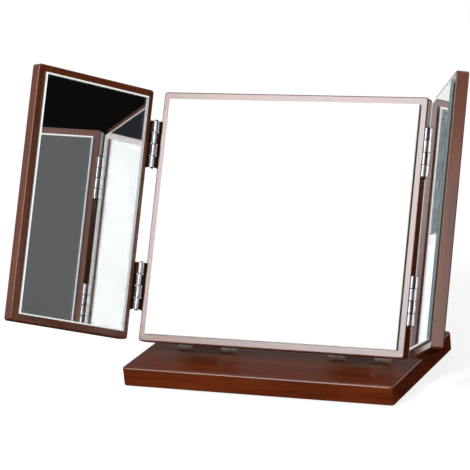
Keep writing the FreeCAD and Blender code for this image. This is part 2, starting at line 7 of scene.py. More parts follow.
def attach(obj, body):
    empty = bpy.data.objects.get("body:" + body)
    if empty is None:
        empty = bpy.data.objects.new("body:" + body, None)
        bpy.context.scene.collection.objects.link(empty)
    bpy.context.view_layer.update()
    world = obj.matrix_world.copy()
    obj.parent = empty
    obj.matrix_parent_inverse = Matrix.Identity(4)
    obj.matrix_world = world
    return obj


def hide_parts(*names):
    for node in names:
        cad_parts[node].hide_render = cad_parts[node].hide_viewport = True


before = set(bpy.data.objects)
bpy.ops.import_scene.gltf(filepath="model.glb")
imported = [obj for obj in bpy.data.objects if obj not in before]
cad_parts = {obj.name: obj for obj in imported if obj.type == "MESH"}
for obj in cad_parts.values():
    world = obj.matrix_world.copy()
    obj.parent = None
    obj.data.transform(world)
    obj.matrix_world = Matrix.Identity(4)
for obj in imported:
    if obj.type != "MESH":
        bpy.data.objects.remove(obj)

scene = bpy.context.scene
mm = 0.001
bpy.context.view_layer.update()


# where things stand, from the part's own sizes
layout = {
    "lean": 26.3,  # degrees back from upright
    "leftFold": 64.3,  # degrees forward from flat
    "rightFold": 61.9,
    "panelWidth": 290 * mm,
    "wingWidth": 144.4 * mm,
    "panelHeight": 258 * mm,
    "foldSide": 3.6 * mm,  # fold axis beside the board
    "foldFront": 4.7 * mm,  # and in front of its face
    "hingeFeet": (31.2 * mm, 178 * mm),  # lower ends of the two fold barrels, up the panel
    "knucklePitch": 12.2 * mm,
    "tiltAxis": (0, -12 * mm, 27.6 * mm),
    "panelFoot": (0, -43.7468 * mm, 36.0397 * mm),
    "baseTop": 20.6 * mm,
}


def shift(x, y, z):
    return Matrix.Translation((x, y, z))


def turnAbout(axis, degrees):
    return Matrix.Rotation(math.radians(degrees), 4, axis)


# panel frames: X along the width, Y up the panel, Z out of its front, origin at the foot of the front face.
# a pin's and a hub's lie on the fold axis instead, turned as the centre panel and as the wing
leanTurn = turnAbout("X", 90 - layout["lean"])
centreFrame = shift(*layout["panelFoot"]) @ leanTurn
tiltFrame = shift(*layout["tiltAxis"]) @ leanTurn
foldAt = layout["panelWidth"] / 2 + layout["foldSide"]
leftPin = centreFrame @ shift(-foldAt, 0, layout["foldFront"])
rightPin = centreFrame @ shift(foldAt, 0, layout["foldFront"])
leftHub = leftPin @ turnAbout("Y", layout["leftFold"])
rightHub = rightPin @ turnAbout("Y", -layout["rightFold"])
wingOff = layout["foldSide"] + layout["wingWidth"] / 2
leftFrame = leftHub @ shift(-wingOff, 0, -layout["foldFront"])
rightFrame = rightHub @ shift(wingOff, 0, -layout["foldFront"])


def hexColour(code):
    channels = [int(code[i:i + 2], 16) / 255 for i in (0, 2, 4)]
    return tuple(c / 12.92 if c < 0.04045 else ((c + 0.055) / 1.055) ** 2.4 for c in channels) + (1.0,)


def feed(tree, node, inputs):
    # inputs are sockets by name or number, each set to a value or linked to another node's socket
    for key, value in inputs.items():
        if isinstance(value, bpy.types.NodeSocket):
            tree.links.new(value, node.inputs[key])
        else:
            node.inputs[key].default_value = value


def addNode(tree, kind, settings, inputs):
    # settings are the node's own fields, where "stops" are the places and colours along a colour ramp
    node = tree.nodes.new(kind)
    for key, value in settings.items():
        if key == "stops":
            elements = node.color_ramp.elements
            elements[0].position, elements[0].color = value[0]
            elements[1].position, elements[1].color = value[-1]
            for position, colour in value[1:-1]:
                elements.new(position).color = colour
        else:
            setattr(node, key, value)
    feed(tree, node, inputs)
    return node


def newMaterial(name):
    material = bpy.data.materials.new(name)
    material.use_nodes = True
    tree = material.node_tree
    shader = tree.nodes["Principled BSDF"]
    coords = addNode(tree, "ShaderNodeTexCoord", {}, {}).outputs["Object"]
    return material, tree, shader, coords


def fromFrame(tree, coords, place):
    # coordinates in a panel's or hub's own frame
    return addNode(tree, "ShaderNodeMapping", {"vector_type": "TEXTURE"}, {
        "Vector": coords, "Location": place.to_translation(), "Rotation": place.to_euler()}).outputs["Vector"]


def grain(tree, vector, length, width, detail, roughness=0.5, distortion=0.0):
    # one cell of the pattern is length x width mm
    cells = addNode(tree, "ShaderNodeMapping", {}, {
        "Vector": vector, "Scale": (1000 / length, 1000 / width, 1000 / width)})
    return addNode(tree, "ShaderNodeTexNoise", {}, {
        "Vector": cells.outputs["Vector"], "Scale": 1, "Detail": detail, "Roughness": roughness,
        "Distortion": distortion}).outputs["Fac"]


# stained beech under sprayed lacquer: even red-brown, faint darker growth bands, fine flecks along the
# grain and a wet-looking coat with a little orange peel
woodLook = {
    "dark": "4E1D04", "mid": "662906", "light": "7C380C",
    "bandWidth": 11.0, "bandLength": 190.0,  # mm across and along the grain
    "fibreWidth": 1.0, "fibreLength": 26.0,  # real fibres are finer; drawn as coarse as they show
    "fleckWidth": 0.6, "fleckLength": 4.0, "fleckShade": 0.72,
    "blotch": 1000 / 12,  # mm from one darker patch of stain to the next
    "fibreShare": 0.5,  # of the fibres in the tone, beside the bands
    "lipping": 7.8,  # mm of upright grain at each end of a panel
    "peel": 3.0, "peelHeight": 0.02,  # mm between the waves of the coat, and their height
    "fibreHeight": 0.6,  # of the fibres under the coat, beside its waves
    "roughness": 0.42, "coatRoughness": 0.16,
}


def lacqueredBeech(name, place, width=0, look=woodLook):
    material, tree, shader, coords = newMaterial(name)
    local = fromFrame(tree, coords, place)
    turned = local
    if width:  # grain runs along the board but up its two lipped ends
        x = addNode(tree, "ShaderNodeSeparateXYZ", {}, {0: local}).outputs["X"]
        out = addNode(tree, "ShaderNodeMath", {"operation": "ABSOLUTE"}, {0: x}).outputs[0]
        blend = 0.1 * mm
        inner = width / 2 - look["lipping"] * mm
        onEnd = addNode(tree, "ShaderNodeMapRange", {}, {
            "Value": out, "From Min": inner - blend, "From Max": inner + blend, "To Min": 0, "To Max": 1})
        elsewhere = (0, 0.3, 0)  # another stretch of the same figure
        upright = addNode(tree, "ShaderNodeMapping", {}, {
            "Vector": local, "Location": elsewhere, "Rotation": (0, 0, math.radians(-90))})
        turned = addNode(tree, "ShaderNodeMix", {"data_type": "VECTOR"}, {
            0: onEnd.outputs["Result"], 4: local, 5: upright.outputs["Vector"]}).outputs[1]
    bands = grain(tree, turned, look["bandLength"], look["bandWidth"], 3, 0.5, 0.5)
    fibres = grain(tree, turned, look["fibreLength"], look["fibreWidth"], 3, 0.6)
    flecks = grain(tree, turned, look["fleckLength"], look["fleckWidth"], 1)
    blotch = addNode(tree, "ShaderNodeTexNoise", {}, {"Vector": local, "Scale": 1000 / look["blotch"]})
    figure = addNode(tree, "ShaderNodeMath", {"operation": "MULTIPLY_ADD"}, {
        0: fibres, 1: look["fibreShare"], 2: bands})
    tone = addNode(tree, "ShaderNodeValToRGB", {"stops": [
        (0.5, hexColour(look["dark"])), (0.75, hexColour(look["mid"])), (1.0, hexColour(look["light"]))]},
        {"Fac": figure.outputs[0]})
    fleckMask = addNode(tree, "ShaderNodeMapRange", {}, {
        "Value": flecks, "From Min": 0.6, "From Max": 0.75, "To Min": 1.0, "To Max": look["fleckShade"]})
    flecked = addNode(tree, "ShaderNodeVectorMath", {"operation": "SCALE"}, {
        0: tone.outputs["Color"], "Scale": fleckMask.outputs["Result"]})
    stain = addNode(tree, "ShaderNodeMapRange", {}, {
        "Value": blotch.outputs["Fac"], "From Min": 0.3, "From Max": 0.7, "To Min": 0.88, "To Max": 1.1})
    stained = addNode(tree, "ShaderNodeVectorMath", {"operation": "SCALE"}, {
        0: flecked.outputs["Vector"], "Scale": stain.outputs["Result"]})
    rough = addNode(tree, "ShaderNodeMapRange", {}, {
        "Value": fibres, "From Min": 0.3, "From Max": 0.7,
        "To Min": look["roughness"] - 0.06, "To Max": look["roughness"] + 0.08})
    peel = addNode(tree, "ShaderNodeTexNoise", {}, {
        "Vector": local, "Scale": 1000 / look["peel"], "Detail": 1})
    surface = addNode(tree, "ShaderNodeMath", {"operation": "MULTIPLY_ADD"}, {
        0: fibres, 1: look["fibreHeight"], 2: peel.outputs["Fac"]})
    relief = addNode(tree, "ShaderNodeBump", {}, {
        "Height": surface.outputs[0], "Strength": 0.2, "Distance": look["peelHeight"] * mm})
    feed(tree, shader, {
        "Base Color": stained.outputs["Vector"],
        "Roughness": rough.outputs["Result"],
        "Normal": relief.outputs["Normal"],
        "Coat Normal": relief.outputs["Normal"],
        "IOR": 1.5,
        "Specular IOR Level": 0.2,  # the coat hides most of the wood's own gloss
        "Coat Weight": 1.0,
        "Coat Roughness": look["coatRoughness"],
        "Coat IOR": 1.5,
    })
    return material


# plated pressed steel: nearly neutral, with drawn lines along the strip and faint smears. The tilt leaves'
# nickel is warm and dull; the fold barrels keep a bright tone, with painted shade on their flat plates and in
# the knuckle joints; zinc is milkier, and the pins are dark with oil
steelMarks = {"smear": 1000 / 90, "lineHeight": 0.01}  # mm, the same on all of them
tiltLook = {"bright": "C6BCAC", "dull": "ACA394", "roughness": 0.32, "lineLength": 7.0, "lineWidth": 0.25}
foldLook = {
    "bright": "AEAEB1", "dull": "98989A", "roughness": 0.26, "lineLength": 7.0, "lineWidth": 0.25,
    "paintedShadeFrom": 2.45,  # mm from the pin's axis, as far as the rolled knuckles reach
    "plate": "463B3A", "plateRoughness": 0.48,  # beyond that, on the flat plates, a painted shade
    "firstJoint": 7.0,  # mm up the panel; a joint there and at every pitch above is darkened: painted shade of the gap between knuckles, with some oil and dust
    "jointWidth": 1.0,  # really about half of that, drawn as wide as it shows
}
zincLook = {"bright": "C4C1B6", "dull": "A9A497", "roughness": 0.3, "lineLength": 0.8, "lineWidth": 0.3}
pinLook = {"bright": "4A4743", "dull": "35322F", "roughness": 0.35, "lineLength": 0.3, "lineWidth": 3.0}


def platedSteel(name, look, barrel=None):
    material, tree, shader, coords = newMaterial(name)
    lines = grain(tree, coords, look["lineLength"], look["lineWidth"], 3)
    smears = addNode(tree, "ShaderNodeTexNoise", {}, {
        "Vector": coords, "Scale": 1000 / steelMarks["smear"], "Detail": 3}).outputs["Fac"]
    tone = addNode(tree, "ShaderNodeValToRGB", {"stops": [
        (0.3, hexColour(look["dull"])), (0.6, hexColour(look["bright"]))]}, {"Fac": smears}).outputs["Color"]
    rough = addNode(tree, "ShaderNodeMapRange", {}, {
        "Value": smears, "From Min": 0.3, "From Max": 0.7,
        "To Min": look["roughness"] - 0.05, "To Max": look["roughness"] + 0.08}).outputs["Result"]
    if barrel:  # the hub of the knuckles: the barrels round it keep the tone, the knuckle joints and the flat plates get painted shade
        local = fromFrame(tree, coords, barrel)
        across = addNode(tree, "ShaderNodeVectorMath", {"operation": "MULTIPLY"}, {0: local, 1: (1, 0, 1)})
        away = addNode(tree, "ShaderNodeVectorMath", {"operation": "LENGTH"}, {0: across.outputs[0]})
        blend = 0.1  # mm from bright to dark
        # painted shade beyond the barrels, on the flat plates
        flat = addNode(tree, "ShaderNodeMapRange", {}, {
            "Value": away.outputs["Value"], "From Min": look["paintedShadeFrom"] * mm,
            "From Max": (look["paintedShadeFrom"] + blend) * mm, "To Min": 0, "To Max": 1})
        # painted shade in the gaps between knuckles, with some oil and dust
        height = addNode(tree, "ShaderNodeSeparateXYZ", {}, {0: local}).outputs["Y"]
        fromFirst = addNode(tree, "ShaderNodeMath", {"operation": "SUBTRACT"}, {
            0: height, 1: look["firstJoint"] * mm})
        fromJoint = addNode(tree, "ShaderNodeMath", {"operation": "PINGPONG"}, {
            0: fromFirst.outputs[0], 1: layout["knucklePitch"] / 2})
        joint = addNode(tree, "ShaderNodeMapRange", {}, {
            "Value": fromJoint.outputs[0], "From Min": (look["jointWidth"] / 2 - blend / 2) * mm,
            "From Max": (look["jointWidth"] / 2 + blend / 2) * mm, "To Min": 1, "To Max": 0})
        # painted shade: on the flat plates and in the knuckle joints
        dark = addNode(tree, "ShaderNodeMath", {"operation": "MAXIMUM"}, {
            0: flat.outputs["Result"], 1: joint.outputs["Result"]}).outputs[0]
        tone = addNode(tree, "ShaderNodeMix", {"data_type": "RGBA"}, {
            0: dark, 6: tone, 7: hexColour(look["plate"])}).outputs[2]
        rough = addNode(tree, "ShaderNodeMath", {"operation": "MULTIPLY_ADD"}, {
            0: dark, 1: look["plateRoughness"] - look["roughness"], 2: rough}).outputs[0]
    relief = addNode(tree, "ShaderNodeBump", {}, {
        "Height": lines, "Strength": 0.15, "Distance": steelMarks["lineHeight"] * mm})
    feed(tree, shader, {
        "Base Color": tone, "Roughness": rough, "Normal": relief.outputs["Normal"], "Metallic": 1.0})
    return material


# float glass: clear through the face, blue-green where light runs along the sheet; "grit" is the stone's
# scratches in mm, and the glow of a ground side is painted light, standing in for what the sheet brings to it
glassLook = {"body": "4FA394", "density": 6.0, "smear": 25.0}  # mm from one wiping smear to the next
edgeLook = {"tone": "A9C2BE", "clear": 0.5, "roughness": 0.6, "grit": 0.4, "paintedGlow": 0.0}
# the bevel's glow is painted light
bevelLook = {"tone": "EFF0EE", "clear": 0.3, "roughness": 0.5, "grit": 0.4, "paintedGlow": 0.48}
# painted shade: a darker copy of the bevel with less painted glow, for a side turned away from the light,
# where the colour of the glass wins
shadedLook = {**bevelLook, "tone": "7F9EA0", "clear": 0.6, "paintedGlow": 0.08}


def floatGlass(name, look=None):
    material, tree, shader, coords = newMaterial(name)
    if look:  # rubbed with a fine stone: whitish, half clear, with a painted glow standing in for what the sheet guides to it
        grit = addNode(tree, "ShaderNodeTexNoise", {}, {
            "Vector": coords, "Scale": 1000 / look["grit"], "Detail": 2})
        rough = addNode(tree, "ShaderNodeMapRange", {}, {
            "Value": grit.outputs["Fac"], "From Min": 0.3, "From Max": 0.7,
            "To Min": look["roughness"] - 0.08, "To Max": look["roughness"] + 0.08})
        # the emission is painted light: the ground side glows though it is no lamp
        feed(tree, shader, {
            "Base Color": hexColour(look["tone"]), "Transmission Weight": look["clear"],
            "Emission Color": hexColour(look["tone"]), "Emission Strength": look["paintedGlow"]})
    else:  # a few wiping smears, barely there
        smears = addNode(tree, "ShaderNodeTexNoise", {}, {
            "Vector": coords, "Scale": 1000 / glassLook["smear"]})
        rough = addNode(tree, "ShaderNodeMapRange", {}, {
            "Value": smears.outputs["Fac"], "From Min": 0.5, "From Max": 0.9, "To Min": 0.0, "To Max": 0.01})
        feed(tree, shader, {"Base Color": hexColour("FFFFFF"), "Transmission Weight": 1.0})
    feed(tree, shader, {"Roughness": rough.outputs["Result"], "IOR": 1.52})
    body = addNode(tree, "ShaderNodeVolumeAbsorption", {}, {
        "Color": hexColour(glassLook["body"]), "Density": glassLook["density"]})
    feed(tree, tree.nodes["Material Output"], {"Volume": body.outputs["Volume"]})
    return material


# deposited silver seen through the glass: nearly white, with a hardly visible cloudiness
silverLook = {"dull": "F6F7F7", "bright": "FBFBFB", "cloud": 40.0}  # mm from one cloud to the next


def silvering(name, look):
    material, tree, shader, coords = newMaterial(name)
    cloud = addNode(tree, "ShaderNodeTexNoise", {}, {"Vector": coords, "Scale": 1000 / look["cloud"]})
    tone = addNode(tree, "ShaderNodeValToRGB", {"stops": [
        (0.3, hexColour(look["dull"])), (0.7, hexColour(look["bright"]))]}, {"Fac": cloud.outputs["Fac"]})
    feed(tree, shader, {"Base Color": tone.outputs["Color"], "Metallic": 1.0, "Roughness": 0.0})
    return material


# felt is dark and hairy, foam tape pale and pitted, nylon ivory and nearly smooth; grain and height in mm
feltLook = {"dark": "241811", "light": "3C2D23", "roughness": 0.95, "grain": 0.7, "height": 0.25}
foamLook = {"dark": "DDDAD2", "light": "F0EEE8", "roughness": 0.8, "grain": 0.5, "height": 0.1}
nylonLook = {"dark": "D2CDC0", "light": "E2DED2", "roughness": 0.5, "grain": 1.2, "height": 0.02}


def softFinish(name, look):
    material, tree, shader, coords = newMaterial(name)
    pile = addNode(tree, "ShaderNodeTexNoise", {}, {
        "Vector": coords, "Scale": 1000 / look["grain"], "Detail": 3, "Roughness": 0.6}).outputs["Fac"]
    tone = addNode(tree, "ShaderNodeValToRGB", {"stops": [
        (0.3, hexColour(look["dark"])), (0.7, hexColour(look["light"]))]}, {"Fac": pile})
    rough = addNode(tree, "ShaderNodeMapRange", {}, {
        "Value": pile, "From Min": 0.3, "From Max": 0.7,
        "To Min": look["roughness"] - 0.05, "To Max": look["roughness"] + 0.05})
    relief = addNode(tree, "ShaderNodeBump", {}, {"Height": pile, "Distance": look["height"] * mm})
    feed(tree, shader, {
        "Base Color": tone.outputs["Color"], "Roughness": rough.outputs["Result"],
        "Normal": relief.outputs["Normal"]})
    return material


def dress(node, material):
    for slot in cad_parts[node].material_slots:
        slot.material = material


baseLook = {**woodLook, "dark": "4F1A01", "mid": "682502", "light": "7E3307"}  # stained a touch warmer
baseTopFrame = shift(0, 0, layout["baseTop"])
dress("base_board", lacqueredBeech("lacquered_beech_base", baseTopFrame, 0, baseLook))
dress("centre_board", lacqueredBeech("lacquered_beech_centre", centreFrame, layout["panelWidth"]))
dress("left_wing_board", lacqueredBeech("lacquered_beech_left", leftFrame, layout["wingWidth"]))
dress("right_wing_board", lacqueredBeech("lacquered_beech_right", rightFrame, layout["wingWidth"]))
finishes = {
    ("left_base_leaf", "right_base_leaf", "_mirror_leaf"): platedSteel("dull_nickel", tiltLook),
    ("_pin", "_shaft"): platedSteel("oiled_steel_pin", pinLook),
    ("_adhesive",): softFinish("foam_mounting_tape", foamLook),
    ("_sleeves",): softFinish("moulded_nylon", nylonLook),
    ("base_felt",): softFinish("pressed_wool_felt", feltLook),
}
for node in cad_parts:
    for endings, material in finishes.items():
        if node.endswith(endings):
            dress(node, material)
# the fold leaves' nickel, with painted shade on the plates and in the knuckle joints
foldSteels = {"left": platedSteel("nickel_painted_shade_left", foldLook, leftHub),
              "right": platedSteel("nickel_painted_shade_right", foldLook, rightHub)}
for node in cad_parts:
    if node.endswith("_leaf") and not node.startswith("tilt"):
        dress(node, foldSteels[node.split("_")[0]])
print("materials")


# mirror plates: a clear face, a narrow ground bevel, ground edges, silver on the back
plate = {
    "border": 7.6 * mm,  # wood left showing round the glass
    "gap": 0.44 * mm,  # tape and backing paint
    "thick": 2.96 * mm,
    "bevelWide": 1.4 * mm,
    "bevelDrop": 0.8 * mm,
    "seam": 0.25 * mm,  # sharp back edge taken off
}
faceGlass = floatGlass("float_glass")
edgeGlass = floatGlass("ground_glass_edge", edgeLook)
litBevel = floatGlass("ground_glass_bevel", bevelLook)
shadedBevel = floatGlass("ground_glass_bevel_shaded", shadedLook)
silverBack = silvering("silvered_back", silverLook)


def mirrorPlate(name, place, width, body, node, shadedSide=None):
    # sides: 0 foot, 1 right, 2 top, 3 left
    plateFinishes = [faceGlass, edgeGlass, litBevel, silverBack]
    face, edge, bevel, silver, shaded = range(5)
    if shadedSide is not None:
        plateFinishes.append(shadedBevel)
    halfWide = width / 2 - plate["border"]
    low, high = plate["border"], layout["panelHeight"] - plate["border"]
    back, front = plate["gap"], plate["gap"] + plate["thick"]
    bm = bmesh.new()
    loops = []
    for inset, z in ((plate["seam"], back), (0, back + plate["seam"]), (0, front - plate["bevelDrop"]),
                     (plate["bevelWide"], front)):
        x, y0, y1 = halfWide - inset, low + inset, high - inset
        loops.append([bm.verts.new(corner) for corner in ((-x, y0, z), (x, y0, z), (x, y1, z), (-x, y1, z))])
    for lower, upper in zip(loops, loops[1:]):
        for i in range(4):
            j = (i + 1) % 4
            side = bm.faces.new((lower[i], lower[j], upper[j], upper[i]))
            ground = shaded if i == shadedSide else bevel
            side.material_index = ground if upper is loops[-1] else edge
    bm.faces.new(loops[-1]).material_index = face
    bm.faces.new(loops[0][::-1]).material_index = silver
    bm.transform(place)
    bm.normal_update()
    mesh = bpy.data.meshes.new(name)
    bm.to_mesh(mesh)
    bm.free()
    for finish in plateFinishes:
        mesh.materials.append(finish)
    piece = bpy.data.objects.new(name, mesh)
    scene.collection.objects.link(piece)
    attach(piece, body)
    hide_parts(node)


mirrorPlate("centre_mirror_plate", centreFrame, layout["panelWidth"], "centre_panel", "centre_mirror")
mirrorPlate("left_mirror_plate", leftFrame, layout["wingWidth"], "left_wing", "left_wing_mirror")
# its right side gets the darker, painted shaded bevel
mirrorPlate("right_mirror_plate", rightFrame, layout["wingWidth"], "right_wing", "right_wing_mirror", 1)
print("mirror plates")


# the fold leaves' plates reach up beside their neighbour's knuckles, so no light shows past the barrels
lip = {
    "near": 2.42 * mm, "far": 3.58 * mm,  # to the side of the pin's axis
    "front": 1.2 * mm, "back": 3.5 * mm,  # behind it
    "gap": 0.3 * mm,  # to the next row
}


def leafLips(name, place, side, rows, body):
    # side is the way the board lies from the pin, rows count the knuckles from the foot
    pitch = layout["knucklePitch"]
    bm = bmesh.new()
    for bottom in layout["hingeFeet"]:
        for row in rows:
            low = bottom + row * pitch + lip["gap"]
            high = bottom + (row + 1) * pitch - lip["gap"]
            block = bmesh.ops.create_cube(bm, size=1)["verts"]
            middle = (side * (lip["near"] + lip["far"]) / 2, (low + high) / 2,
                      -(lip["front"] + lip["back"]) / 2)
            stretch = Matrix.Diagonal((lip["far"] - lip["near"], high - low, lip["back"] - lip["front"], 1))
            bmesh.ops.transform(bm, matrix=place @ shift(*middle) @ stretch, verts=block)
    mesh = bpy.data.meshes.new(name)
    bm.to_mesh(mesh)
    bm.free()
    # the fold leaves' nickel: these blocks lie wholly in its painted shade
    mesh.materials.append(foldSteels[name.split("_")[0]])
    piece = bpy.data.objects.new(name, mesh)
    scene.collection.objects.link(piece)
    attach(piece, body)


leafLips("left_centre_lips", leftPin, 1, (1, 3), "centre_panel")
leafLips("right_centre_lips", rightPin, -1, (0, 2), "centre_panel")
leafLips("left_wing_lips", leftHub, -1, (0, 2), "left_wing")
leafLips("right_wing_lips", rightHub, 1, (1, 3), "right_wing")
print("leaf lips")


# countersunk cross-recess screws, one set of sizes for each kind of hinge; the seed turns each its own way
foldScrew = {
    "Head Radius": 2.0 * mm, "Shank Radius": 1.0 * mm, "Length": 10 * mm, "Recess Depth": 0.8 * mm,
    "Seed": 3,
}
tiltScrew = {
    "Head Radius": 3.0 * mm, "Shank Radius": 1.5 * mm, "Length": 9.5 * mm, "Recess Depth": 1.2 * mm,
    "Seed": 8,
}
screwShape = {
    "headSides": 32, "shankSides": 16,
    "pointLength": 2.2,  # times the shank's radius
    "tipRadius": 0.1 * mm,
    "armTop": 0.62, "armFoot": 0.2,  # times the head's radius
    "armSquash": 0.3,
}
screwPlaces = {
    "tiltHinges": 84 * mm,  # hinge centres either side of the middle
    "tiltEnds": 24.5 * mm,  # either side of a hinge's centre
    "baseRows": (9.7 * mm, 24.3 * mm),  # behind the tilt axis
    "leafTop": 2.0 * mm,  # above the base
    "mirrorRows": (10 * mm, 21 * mm),  # up the panel from the tilt axis
    "mirrorFace": 18.2 * mm,  # in front of it
    "foldRows": (7.32 * mm, 24.4 * mm, 41.48 * mm),  # up the barrel
    "foldFace": 2.4 * mm,  # from the fold axis to the leaf
    "foldBehind": 9.6 * mm,  # behind the fold axis
}


def screwTree(material, shape):
    tree = bpy.data.node_groups.new("countersunk_screws", "GeometryNodeTree")
    face = tree.interface
    face.new_socket(name="Geometry", in_out="OUTPUT", socket_type="NodeSocketGeometry")
    face.new_socket(name="Geometry", in_out="INPUT", socket_type="NodeSocketGeometry")
    for name in ("Head Radius", "Shank Radius", "Length", "Recess Depth"):
        face.new_socket(name=name, in_out="INPUT", socket_type="NodeSocketFloat")
    face.new_socket(name="Seed", in_out="INPUT", socket_type="NodeSocketInt")
    given = addNode(tree, "NodeGroupInput", {}, {}).outputs
    headRadius, shankRadius, length = given["Head Radius"], given["Shank Radius"], given["Length"]
    times, minus = {"operation": "MULTIPLY"}, {"operation": "SUBTRACT"}

    def raised(geometry, z, scale=(1, 1, 1)):
        # the geometry moved up the screw's axis
        spot = addNode(tree, "ShaderNodeCombineXYZ", {}, {"Z": z}).outputs[0]
        return addNode(tree, "GeometryNodeTransform", {}, {
            "Geometry": geometry, "Translation": spot, "Scale": scale}).outputs[0]

    taper = addNode(tree, "ShaderNodeMath", minus, {0: headRadius, 1: shankRadius}).outputs[0]
    head = addNode(tree, "GeometryNodeMeshCone", {}, {
        "Radius Top": headRadius, "Radius Bottom": shankRadius, "Depth": taper,
        "Vertices": shape["headSides"]})
    point = addNode(tree, "ShaderNodeMath", times, {0: shankRadius, 1: shape["pointLength"]}).outputs[0]
    body = addNode(tree, "ShaderNodeMath", minus, {0: length, 1: taper}).outputs[0]
    reach = addNode(tree, "ShaderNodeMath", minus, {0: body, 1: point}).outputs[0]
    shank = addNode(tree, "GeometryNodeMeshCone", {}, {
        "Radius Top": shankRadius, "Radius Bottom": shankRadius, "Depth": reach,
        "Vertices": shape["shankSides"]})
    tip = addNode(tree, "GeometryNodeMeshCone", {}, {
        "Radius Top": shankRadius, "Radius Bottom": shape["tipRadius"], "Depth": point,
        "Vertices": shape["shankSides"]})
    # an arm of the recess is a four-sided spike squashed to a blade; its upper half stands clear of the head
    armTop = addNode(tree, "ShaderNodeMath", times, {0: headRadius, 1: shape["armTop"]}).outputs[0]
    armFoot = addNode(tree, "ShaderNodeMath", times, {0: headRadius, 1: shape["armFoot"]}).outputs[0]
    armDepth = addNode(tree, "ShaderNodeMath", times, {0: given["Recess Depth"], 1: 2}).outputs[0]
    spike = addNode(tree, "GeometryNodeMeshCone", {}, {
        "Radius Top": armTop, "Radius Bottom": armFoot, "Depth": armDepth, "Vertices": 4})
    armZ = addNode(tree, "ShaderNodeMath", times, {0: given["Recess Depth"], 1: -1}).outputs[0]
    cutters = addNode(tree, "GeometryNodeJoinGeometry", {}, {})
    for scale in ((1, shape["armSquash"], 1), (shape["armSquash"], 1, 1)):
        feed(tree, cutters, {0: raised(spike.outputs["Mesh"], armZ, scale)})
    headZ = addNode(tree, "ShaderNodeMath", times, {0: taper, 1: -1}).outputs[0]
    recessed = addNode(tree, "GeometryNodeMeshBoolean", {"operation": "DIFFERENCE", "solver": "EXACT"}, {
        "Mesh 1": raised(head.outputs["Mesh"], headZ), "Mesh 2": cutters.outputs[0]})
    neck = addNode(tree, "ShaderNodeMath", {"operation": "ADD"}, {0: taper, 1: reach}).outputs[0]
    shankZ = addNode(tree, "ShaderNodeMath", times, {0: neck, 1: -1}).outputs[0]
    tipZ = addNode(tree, "ShaderNodeMath", times, {0: length, 1: -1}).outputs[0]
    whole = addNode(tree, "GeometryNodeJoinGeometry", {}, {0: recessed.outputs["Mesh"]})
    feed(tree, whole, {0: raised(shank.outputs["Mesh"], shankZ)})
    feed(tree, whole, {0: raised(tip.outputs["Mesh"], tipZ)})
    facing = addNode(tree, "GeometryNodeInputNamedAttribute", {"data_type": "FLOAT_VECTOR"}, {
        "Name": "facing"})
    turned = addNode(tree, "FunctionNodeEulerToRotation", {}, {0: facing.outputs["Attribute"]})
    copies = addNode(tree, "GeometryNodeInstanceOnPoints", {}, {
        "Points": given["Geometry"], "Instance": whole.outputs[0], "Rotation": turned.outputs[0]})
    angle = addNode(tree, "FunctionNodeRandomValue", {"data_type": "FLOAT"}, {
        3: math.pi, "Seed": given["Seed"]})
    spin = addNode(tree, "ShaderNodeCombineXYZ", {}, {"Z": angle.outputs[1]})
    spun = addNode(tree, "GeometryNodeRotateInstances", {}, {
        "Instances": copies.outputs[0], "Rotation": spin.outputs[0]})
    real = addNode(tree, "GeometryNodeRealizeInstances", {}, {0: spun.outputs[0]})
    finished = addNode(tree, "GeometryNodeSetMaterial", {}, {
        "Geometry": real.outputs[0], "Material": material})
    addNode(tree, "NodeGroupOutput", {}, {0: finished.outputs[0]})
    return tree


screws = screwTree(platedSteel("zinc_plated_screw", zincLook), screwShape)


def screwSet(name, sizes, places):
    # places are frames with the head facing along Z; the result is a plain mesh
    mesh = bpy.data.meshes.new(name)
    mesh.from_pydata([place.to_translation() for place in places], [], [])
    facing = mesh.attributes.new("facing", "FLOAT_VECTOR", "POINT")
    for value, place in zip(facing.data, places):
        value.vector = place.to_euler()
    piece = bpy.data.objects.new(name, mesh)
    scene.collection.objects.link(piece)
    modifier = piece.modifiers.new("screws", "NODES")
    modifier.node_group = screws
    for item in screws.interface.items_tree:
        if item.in_out == "INPUT" and item.name in sizes:
            modifier[item.identifier] = sizes[item.name]
    bpy.context.view_layer.update()
    evaluated = piece.evaluated_get(bpy.context.evaluated_depsgraph_get())
    made = bpy.data.meshes.new_from_object(evaluated)
    piece.modifiers.clear()
    piece.data = made
    return piece


def tiltPlaces():
    onBase, onMirror = [], []
    at = screwPlaces
    for x in (-at["tiltHinges"], at["tiltHinges"]):
        for end in (-at["tiltEnds"], at["tiltEnds"]):
            for row in at["baseRows"]:
                onBase.append(shift(x + end, layout["tiltAxis"][1] + row, layout["baseTop"] + at["leafTop"]))
            for row in at["mirrorRows"]:
                onMirror.append(tiltFrame @ shift(x + end, row, at["mirrorFace"]) @ turnAbout("Y", 180))
    return onBase, onMirror


def foldPlaces(side, pin, hub):
    onCentre, onWing = [], []
    at = screwPlaces
    for bottom in layout["hingeFeet"]:
        for row in at["foldRows"]:
            onCentre.append(pin @ shift(-side * at["foldFace"], bottom + row, -at["foldBehind"])
                            @ turnAbout("Y", side * 90))
            onWing.append(hub @ shift(side * at["foldFace"], bottom + row, -at["foldBehind"])
                          @ turnAbout("Y", -side * 90))
    return onCentre, onWing


def nodesEnding(ending):
    return [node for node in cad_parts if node.endswith(ending)]


